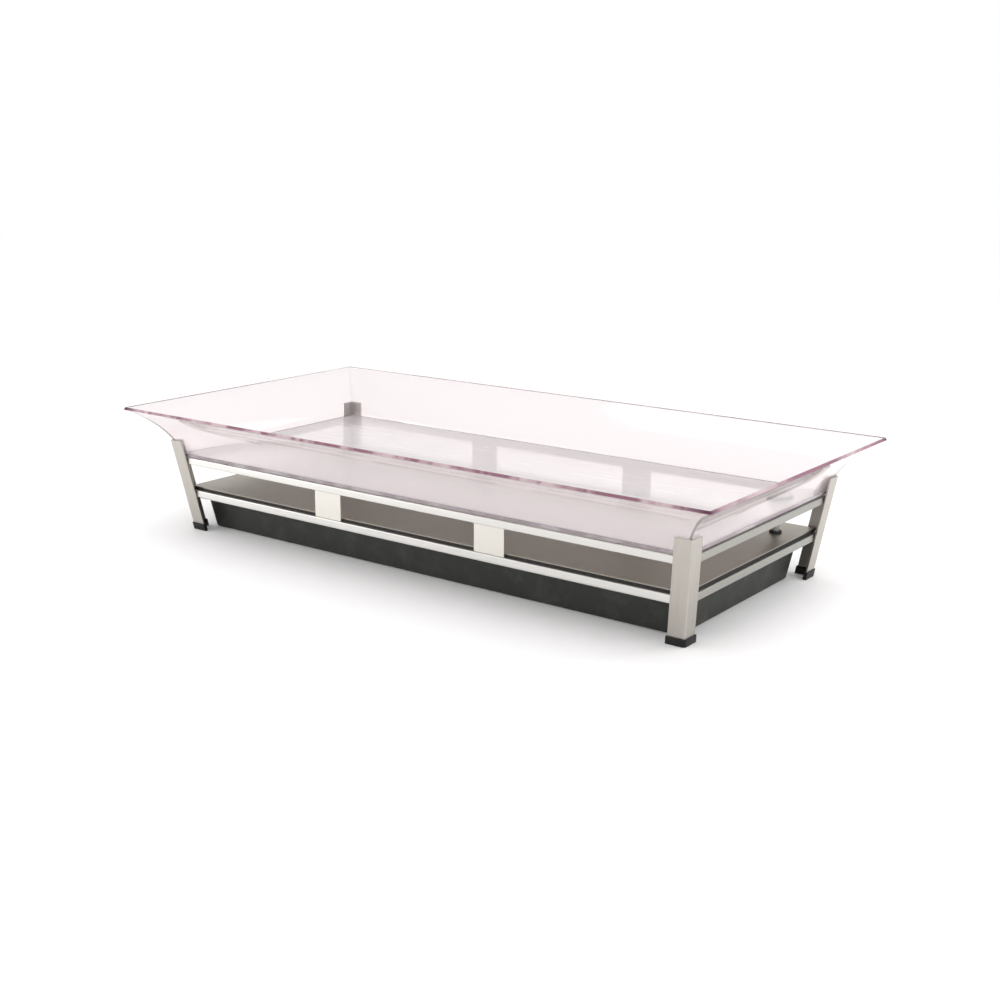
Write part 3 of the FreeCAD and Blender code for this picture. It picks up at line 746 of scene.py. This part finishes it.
class PEDESTAL_OT_welds(bpy.types.Operator):
    """Builds the small ground welds where rails meet legs and each other"""

    bl_idname = "pedestal.welds"
    bl_label = "Welds"

    def weld_ring(self, half, leg, corner):
        """A fillet round a square tube's end, which faces +Z at the origin."""
        sunk, bulge = 0.2 * MM, 0.55 * leg
        profile = [
            (half - sunk, sunk), (half - sunk, -leg), (half + bulge, -bulge),
            (half + leg, 0.0), (half + leg, sunk),
        ]
        stations = [(reach, reach, z) for reach, z in profile]
        bm = level_ring(*stations[0], corner, 3)
        rings = raise_rings(bm, stations)
        bmesh.ops.bridge_loops(bm, edges=rings[0] + rings[-1])
        return bm

    def execute(self, context):
        steel = context.scene.pedestal_steel
        welds = bmesh.new()
        for names, along, slope in ((LONG_RAILS, 0, math.tan(steel.splay_x)), (END_RAILS, 1, 0.0)):
            for name in names:
                low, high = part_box(name)
                half = (high.z - low.z) / 2
                for side in (-1, 1):
                    place = middle(name)
                    place[along] = side * (high[along] - half * slope)
                    # The fillet's own axes lie across the tube, up the face it meets and out of its end
                    across, up, out = Vector((0, 0, 0)), Vector((0, 0, 1)), Vector((0, 0, 0))
                    across[1 - along] = 1
                    up[along] = side * slope
                    out[along] = side
                    turn = Matrix((across, up, out)).transposed().to_4x4()
                    ring = self.weld_ring(half, steel.weld_leg, steel.tube_corner)
                    bmesh.ops.transform(ring, matrix=Matrix.Translation(place) @ turn, verts=ring.verts)
                    bmesh.ops.recalc_face_normals(ring, faces=ring.faces)
                    pour(ring, welds)
        new_piece("weld_fillets", welds, "frame", [], [brushed("tube")])
        return {"FINISHED"}


class PEDESTAL_OT_feet(bpy.types.Operator):
    """Builds the moulded feet: L-shaped caps with a groove that the leg's end stands in"""

    bl_idname = "pedestal.feet"
    bl_label = "Feet"

    def execute(self, context):
        fittings, steel = context.scene.pedestal_fittings, context.scene.pedestal_steel
        wall = fittings.foot_wall
        for corner in CORNERS:
            outer, slant = leg_line(corner)
            outer += outwards(outer, wall, wall)
            bm = angle_bar(
                outer, slant * fittings.foot_height, steel.leg_flange + 2 * wall, steel.leg_sheet + 2 * wall,
                steel.leg_corner + wall, fittings.foot_round,
            )
            top = max(bm.faces, key=lambda f: f.calc_center_median().z)
            lip = wall - fittings.foot_fit - fittings.foot_round
            bmesh.ops.inset_individual(bm, faces=[top], thickness=lip, use_even_offset=True)
            draw_out(bm, [top], slant * (fittings.foot_sole - fittings.foot_height))
            bmesh.ops.delete(bm, geom=[top], context="FACES_ONLY")
            new_piece(
                "foot_cap_" + corner, bm, "frame", ["foot_" + corner], [moulded_black()]
            )
        return {"FINISHED"}


class PEDESTAL_OT_shelf(bpy.types.Operator):
    """Finishes the shelf and its sealing strips and builds its drain grommet"""

    bl_idname = "pedestal.shelf"
    bl_label = "Shelf"

    def execute(self, context):
        fittings = context.scene.pedestal_fittings
        # The shelf's darker steel is painted shade from the tray above it
        dress(["shelf"], brushed("shelf"))
        rubber = shared(sheet_rubber, "sheet_rubber")
        dress(["shelf_strips"], rubber)
        low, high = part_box("shelf_grommet")
        shelf_low, shelf_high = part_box("shelf")
        bore, lip = fittings.grommet_bore / 2, (high.x - low.x) / 2
        neck = bore + fittings.grommet_neck
        profile = [
            (bore, low.z, 0.5 * MM), (lip, low.z, 0.9 * MM), (lip, shelf_low.z, 0.4 * MM),
            (neck, shelf_low.z, 0), (neck, shelf_high.z, 0),
            (lip, shelf_high.z, 0.4 * MM), (lip, high.z, 1.4 * MM), (bore, high.z, 0.8 * MM),
        ]
        centre = middle("shelf_grommet")
        bm = turned(profile, centre.x, centre.y)
        new_piece("grommet_ring", bm, "frame", ["shelf_grommet"], [rubber])
        return {"FINISHED"}


class PEDESTAL_OT_runners(bpy.types.Operator):
    """Finishes the pan's runners and builds its stop plate"""

    bl_idname = "pedestal.runners"
    bl_label = "Runners and stop"

    def execute(self, context):
        steel = context.scene.pedestal_steel
        dress(["runner_front", "runner_back"], brushed("tube"))
        bm = eased_plate(*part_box("pan_stop"), steel.stop_corner, steel.edge_ease)
        # The stop plate takes the end rails' darker copy of the steel: painted shade
        new_piece("stop_plate", bm, "frame", ["pan_stop"], [brushed("end")])
        return {"FINISHED"}


# Clear tray and its drain

class PEDESTAL_OT_bumpers(bpy.types.Operator):
    """Builds the clear domed pads under the tray"""

    bl_idname = "pedestal.bumpers"
    bl_label = "Bumpers"

    def execute(self, context):
        low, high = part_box("tray_bumpers")
        tray = context.scene.pedestal_tray
        spacing, radius = tray.bumper_spacing, tray.bumper / 2
        out_x, out_y = high.x - radius, high.y - radius
        places = [(k * spacing, side * out_y) for k in (-1, 0, 1) for side in (-1, 1)]
        places += [(side * out_x, 0.0) for side in (-1, 1)]
        # A flat foot with a shallow dome on it
        profile = [
            (0.0, low.z, 0), (radius, low.z, 0.2 * MM), (0.96 * radius, low.z + 0.5 * MM, 0.3 * MM),
            (0.7 * radius, high.z - 0.15 * MM, 1 * MM), (0.4 * radius, high.z, 0.6 * MM), (0.0, high.z, 0),
        ]
        pads = bmesh.new()
        for x, y in places:
            pour(turned(profile, x, y, steps=24), pads)
        finish = shared(soft_clear, "soft_clear")
        new_piece("bumper_domes", pads, "frame", ["tray_bumpers"], [finish])
        return {"FINISHED"}


class PEDESTAL_OT_tray(bpy.types.Operator):
    """Builds the clear tray as one cemented shell with polished edges and a drain hole"""

    bl_idname = "pedestal.tray"
    bl_label = "Clear tray"

    def execute(self, context):
        tray, fittings = context.scene.pedestal_tray, context.scene.pedestal_fittings
        low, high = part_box("tray_floor")
        rim_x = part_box("tray_wall_right")[1].x
        rim_y, rim_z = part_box("tray_wall_back")[1].yz
        sheet = high.z - low.z
        rise = rim_z - high.z - sheet * math.cos(tray.rim_slope)
        radius = rise / (math.cos(tray.rim_slope) - math.cos(tray.foot_slope))
        axis_out = radius * math.sin(tray.rim_slope)
        axis_z = high.z - radius * math.cos(tray.foot_slope)

        def flare(reach, start, end):
            """Stations on one face of the wall, from one slope to another."""
            for step in range(tray.flare_steps + 1):
                slope = start + (end - start) * step / tray.flare_steps
                inset = reach * math.sin(slope) - axis_out
                yield rim_x - inset, rim_y - inset, axis_z + reach * math.cos(slope)

        inner_foot = math.acos((high.z - axis_z) / (radius + sheet))
        outside = list(flare(radius, tray.foot_slope, tray.rim_slope))
        inside = list(flare(radius + sheet, tray.rim_slope, inner_foot))
        stations = [(high.x, high.y, low.z)] + outside + inside
        bm = level_ring(*stations[0], tray.corner_round, 4)
        rings = raise_rings(bm, stations)
        centre = middle("drain_body")
        hole = fittings.barrel / 2 + tray.hole_gap
        holes = [
            fill_round_hole(bm, ring, (centre.x, centre.y, z), hole)
            for ring, z in ((rings[0], low.z), (rings[-1], high.z))
        ]
        bmesh.ops.bridge_loops(bm, edges=holes[0] + holes[1])
        bmesh.ops.recalc_face_normals(bm, faces=bm.faces)
        # Places in the list of finishes, after the walls' own
        rim_edge, floor_edge, floor_top = 1, 2, 3
        rim_outer, rim_inner = rings[len(outside)], rings[len(outside) + 1]
        for face in band(rim_outer, rim_inner):
            face.material_index = rim_edge
        for face in band(rings[0], rings[1]):
            face.material_index = floor_edge
        for face in bm.faces:
            if all(abs(vert.co.z - high.z) < NEAR for vert in face.verts):
                face.material_index = floor_top
        round_edges(bm, rim_outer + rim_inner + rings[0], tray.edge_round, 2)
        round_edges(bm, rings[-1], tray.cement_fillet, 3)
        finishes = [
            shared(cast_acrylic, "cast_acrylic", tray.wall_clear, tray.wall_wear),
            # The rim edge's colour is painted light piped along the sheet
            shared(acrylic_edge, "acrylic_rim_edge", tray.edge_dash, tray.edge_pale),
            # The floor edge's grey is painted shadow of the gap under the tray, with painted light piping as
            # on the rim
            shared(acrylic_edge, "acrylic_floor_edge", tray.floor_edge, tray.floor_edge_pale),
            shared(cast_acrylic, "cast_acrylic_worn", tray.floor_clear, tray.floor_wear),
        ]
        new_piece("clear_tray", bm, "tray", TRAY_NODES, finishes)
        return {"FINISHED"}


class PEDESTAL_OT_drain(bpy.types.Operator):
    """Builds the flanged drain with its threads and locknut and finishes its seals and tail tube"""

    bl_idname = "pedestal.drain"
    bl_label = "Drain"

    def execute(self, context):
        fittings = context.scene.pedestal_fittings
        low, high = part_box("drain_body")
        centre = middle("drain_body")
        flange, barrel = (high.x - low.x) / 2, fittings.barrel / 2
        bore, outlet, recess = fittings.bore / 2, fittings.outlet / 2, fittings.recess / 2
        under = high.z - fittings.flange_sheet
        seat = high.z - fittings.strainer_sheet
        floor = low.z + fittings.barrel_end
        core, pitch = barrel - fittings.thread_depth, fittings.thread_pitch
        profile = [(outlet, low.z, 0.2 * MM), (core, low.z, 0)]
        root = low.z + pitch / 2
        # The thread is drawn as rings
        while root + pitch < under:
            profile += [(core, root, 0), (barrel, root + pitch / 2, 0)]
            root += pitch
        profile += [
            (barrel, under, 0), (flange, under, 0.3 * MM), (flange, high.z, 1.6 * MM),
            (recess, high.z, 0.4 * MM), (recess, seat, 0), (bore, seat, 0.5 * MM),
            (bore, floor, 0.5 * MM), (outlet, floor, 0.4 * MM),
        ]
        new_piece(
            "drain_barrel", turned(profile, centre.x, centre.y), "tray", ["drain_body"],
            [moulded_black()],
        )
        low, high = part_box("drain_locknut")
        bm = bmesh.new()
        across_corners = (high.y - low.y) / math.cos(math.pi / NUT_SIDES)
        bmesh.ops.create_circle(bm, segments=NUT_SIDES, radius=across_corners / 2)
        bmesh.ops.translate(bm, vec=(centre.x, centre.y, low.z), verts=bm.verts)
        fill_round_hole(bm, bm.edges[:], (centre.x, centre.y, low.z), barrel + fittings.nut_fit)
        draw_out(bm, bm.faces[:], (0, 0, high.z - low.z))
        bmesh.ops.recalc_face_normals(bm, faces=bm.faces)
        round_edges(bm, sharp_edges(bm), fittings.nut_round, 2)
        new_piece("drain_nut", bm, "tray", ["drain_locknut"], [moulded_black()])
        dress(["drain_gasket", "drain_washer"], shared(sheet_rubber, "sheet_rubber"))
        dress(["drain_tailpiece"], shared(soft_clear, "soft_clear"))
        return {"FINISHED"}


class PEDESTAL_OT_strainer(bpy.types.Operator):
    """Builds the loose perforated strainer with its lifting knob"""

    bl_idname = "pedestal.strainer"
    bl_label = "Strainer"

    def execute(self, context):
        fittings = context.scene.pedestal_fittings
        low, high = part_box("drain_strainer")
        centre = middle("drain_strainer")
        radius = (high.x - low.x) / 2
        top = low.z + fittings.strainer_sheet
        bm = bmesh.new()
        bmesh.ops.create_circle(bm, segments=STRAINER_SIDES, radius=radius)
        rings = ((fittings.inner_holes, fittings.inner_ring), (fittings.outer_holes, fittings.outer_ring))
        for count, reach in rings:
            for k in range(count):
                turn = Matrix.Rotation(2 * math.pi * k / count, 4, "Z")
                bmesh.ops.create_circle(
                    bm, segments=STRAINER_HOLE_SIDES, radius=fittings.strainer_hole / 2,
                    matrix=turn @ Matrix.Translation((reach, 0, 0)),
                )
        bmesh.ops.triangle_fill(bm, use_beauty=True, edges=bm.edges[:])
        draw_out(bm, bm.faces[:], (0, 0, fittings.strainer_sheet))
        bmesh.ops.recalc_face_normals(bm, faces=bm.faces)
        round_edges(bm, sharp_edges(bm), fittings.strainer_round, 2)
        bmesh.ops.translate(bm, vec=(centre.x, centre.y, low.z), verts=bm.verts)
        # The knob has a foot sunk in the sheet, a waist and a rounded head
        knob, rise, sunk = fittings.knob / 2, high.z - top, top - 0.3 * MM
        foot, waist = 0.8 * knob, knob / 2
        profile = [
            (0.0, sunk, 0), (foot, sunk, 0), (foot, top + 0.4 * MM, 0.4 * MM),
            (waist, top + 0.2 * rise, 0.8 * MM), (waist, top + 0.6 * rise, 0.5 * MM),
            (knob, top + 0.68 * rise, 0.4 * MM), (knob, high.z - 0.08 * rise, 0.9 * MM),
            (knob / 2, high.z, 0.8 * MM), (0.0, high.z, 0),
        ]
        pour(turned(profile, centre.x, centre.y, steps=32), bm)
        new_piece("strainer_disc", bm, "strainer", ["drain_strainer"], [brushed("tube")])
        return {"FINISHED"}


# Drain pan

class PEDESTAL_OT_pan(bpy.types.Operator):
    """Builds the deep black pan with leaning walls, rounded edges and a rim all round"""

    bl_idname = "pedestal.pan"
    bl_label = "Drain pan"

    def execute(self, context):
        pan = context.scene.pedestal_pan
        low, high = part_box("drain_pan")
        centre, half = (low + high) / 2, (high - low) / 2
        top = Vector((half.x - pan.end_rim, half.y - pan.side_rim))

        def wall(z, inset=0.0):
            """A station on a face of the leaning wall."""
            lean = (high.z - z) * math.tan(pan.draft) + inset
            return top.x - lean, top.y - lean, z

        floor, under = low.z + pan.wall, high.z - pan.rim_sheet
        stations = [
            wall(low.z), wall(under), (half.x, half.y, under), (half.x, half.y, high.z),
            wall(high.z, pan.wall), wall(floor, pan.wall),
        ]
        bm = level_ring(*stations[0], pan.corner, 8)
        base, _, rim_under, rim_top, rim_inner, inside = raise_rings(bm, stations)
        for ring in (base, inside):
            bmesh.ops.edgeloop_fill(bm, edges=ring)
        bmesh.ops.recalc_face_normals(bm, faces=bm.faces)
        round_edges(bm, base, pan.base_round, 4)
        round_edges(bm, rim_under + rim_top + rim_inner, pan.rim_round, 3)
        round_edges(bm, inside, pan.inside_round, 4)
        bmesh.ops.translate(bm, vec=(centre.x, centre.y, 0.0), verts=bm.verts)
        finish = shared(grained_black, "grained_black_pan", pan.face, pan.scuffed, pan.grain)
        new_piece("pan_shell", bm, "pan", ["drain_pan"], [finish])
        return {"FINISHED"}


# Stage

class PEDESTAL_OT_stage(bpy.types.Operator):
    """Lays the pale floor, hangs the soft lights and sets the camera"""

    bl_idname = "pedestal.stage"
    bl_label = "Stage"

    def softbox(self, name, place, aim, size, watts):
        """A rectangular area light that looks at a point."""
        light = bpy.data.lights.new(name, "AREA")
        light.shape = "RECTANGLE"
        light.size, light.size_y = size
        light.energy = watts
        lamp = bpy.data.objects.new(name, light)
        lamp.location = place
        lamp.rotation_euler = (Vector(aim) - Vector(place)).to_track_quat("-Z", "Y").to_euler()
        bpy.context.scene.collection.objects.link(lamp)

    def execute(self, context):
        scene = context.scene
        stage = scene.pedestal_stage
        bm = bmesh.new()
        bmesh.ops.create_circle(bm, cap_ends=True, segments=FLOOR_SIDES, radius=stage.floor_reach)
        mesh = bpy.data.meshes.new("pale_floor")
        bm.to_mesh(mesh)
        bm.free()
        mesh.materials.append(shared(pale_paper, "pale_paper"))
        floor = bpy.data.objects.new("pale_floor", mesh)
        scene.collection.objects.link(floor)

        for name, (place, aim, size) in SOFTBOXES.items():
            self.softbox(name + "_softbox", place, aim, size, getattr(stage, name))

        world = bpy.data.worlds.new("white_room")
        world.use_nodes = True
        background = world.node_tree.nodes["Background"]
        background.inputs["Color"].default_value = linear("#ffffff")
        background.inputs["Strength"].default_value = stage.ambient
        scene.world = world
        scene.view_settings.view_transform = "Standard"

        camera = bpy.data.objects.new("camera", bpy.data.cameras.new("camera"))
        camera.data.lens = stage.lens
        camera.matrix_world = (
            Matrix.Translation(CAMERA_PLACE)
            @ Matrix.Rotation(stage.heading, 4, "Z")
            @ Matrix.Rotation(math.pi / 2 - stage.tilt, 4, "X")
            @ Matrix.Rotation(stage.roll, 4, "Z")
        )
        scene.collection.objects.link(camera)
        scene.camera = camera
        return {"FINISHED"}


# Add-on

PIECES = (
    PEDESTAL_OT_legs,
    PEDESTAL_OT_rails,
    PEDESTAL_OT_braces,
    PEDESTAL_OT_welds,
    PEDESTAL_OT_feet,
    PEDESTAL_OT_shelf,
    PEDESTAL_OT_runners,
    PEDESTAL_OT_bumpers,
    PEDESTAL_OT_tray,
    PEDESTAL_OT_drain,
    PEDESTAL_OT_strainer,
    PEDESTAL_OT_pan,
    PEDESTAL_OT_stage,
)


class PEDESTAL_PT_pieces(bpy.types.Panel):
    """Lists the pedestal's pieces and their settings"""

    bl_idname = "PEDESTAL_PT_pieces"
    bl_label = "Ice display pedestal"
    bl_space_type = "VIEW_3D"
    bl_region_type = "UI"
    bl_category = "Pedestal"

    def draw(self, context):
        for operator in PIECES:
            self.layout.operator(operator.bl_idname)
        for name, group in SETTINGS.items():
            box = self.layout.box()
            box.label(text=group.__doc__)
            for setting in group.__annotations__:
                box.prop(getattr(context.scene, name), setting)


CLASSES = (*SETTINGS.values(), *PIECES, PEDESTAL_PT_pieces)


def register():
    for made in CLASSES:
        bpy.utils.register_class(made)
    for name, group in SETTINGS.items():
        setattr(bpy.types.Scene, name, PointerProperty(type=group))


def unregister():
    for name in SETTINGS:
        delattr(bpy.types.Scene, name)
    for made in reversed(CLASSES):
        bpy.utils.unregister_class(made)


def main():
    register()
    for operator in PIECES:
        family, action = operator.bl_idname.split(".")
        getattr(getattr(bpy.ops, family), action)()


if __name__ == "__main__":
    main()
